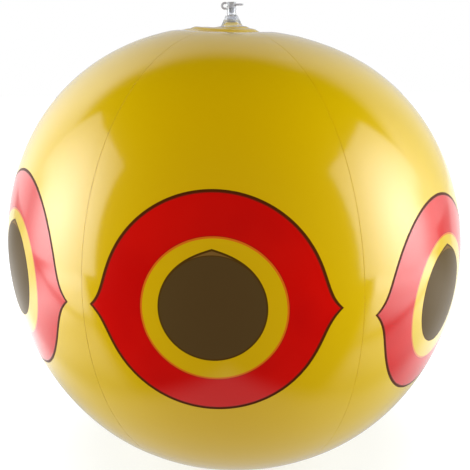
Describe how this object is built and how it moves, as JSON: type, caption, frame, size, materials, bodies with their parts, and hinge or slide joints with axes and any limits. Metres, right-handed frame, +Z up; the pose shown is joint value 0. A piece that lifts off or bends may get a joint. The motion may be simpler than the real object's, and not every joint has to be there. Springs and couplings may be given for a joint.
{
  "type": "bird scare balloon",
  "caption": "Inflated vinyl ball printed with large staring eyes, hung over crops or fruit trees to scare birds away.",
  "frame": {"origin": "on the valve's axis at the neck, the step between bell and stem where the hanging twine is tied", "axes": "+Z up along the valve's axis, -Y to the eye that faces the front, +X to that eye's right as seen"},
  "size_m": [0.3998, 0.4, 0.412],
  "materials": {
    "printed_film": "glossy yellow vinyl film, printed with eyes",
    "plain_film": "glossy yellow vinyl film",
    "clear_plastic": "clear moulded vinyl",
    "soft_clear_plastic": "clear soft moulded vinyl"
  },
  "bodies": {
    "ball": {"gore_panel_1": "printed_film", "gore_panel_2": "printed_film", "gore_panel_3": "printed_film", "gore_panel_4": "printed_film", "gore_panel_5": "printed_film", "gore_panel_6": "printed_film", "top_disc": "plain_film", "bottom_disc": "plain_film", "valve_body": "clear_plastic", "stopper_strap": "soft_clear_plastic"},
    "stopper": {"stopper": "soft_clear_plastic"},
    "check_flap": {"check_flap": "soft_clear_plastic"}
  },
  "joints": [
    {"name": "stopper_swing", "type": "hinge", "parent": "ball", "child": "stopper", "pos_m": [-0.0082, 0, 0.00792], "axis": [0, -1, 0], "range_deg": [0, 150], "deforming": ["stopper_strap"]},
    {"name": "flap_swing", "type": "hinge", "parent": "ball", "child": "check_flap", "pos_m": [-0.0038, 0, -0.0142], "axis": [0, 1, 0], "range_deg": [0, 70], "stiffness_Nm_per_rad": 0.00005}
  ]
}
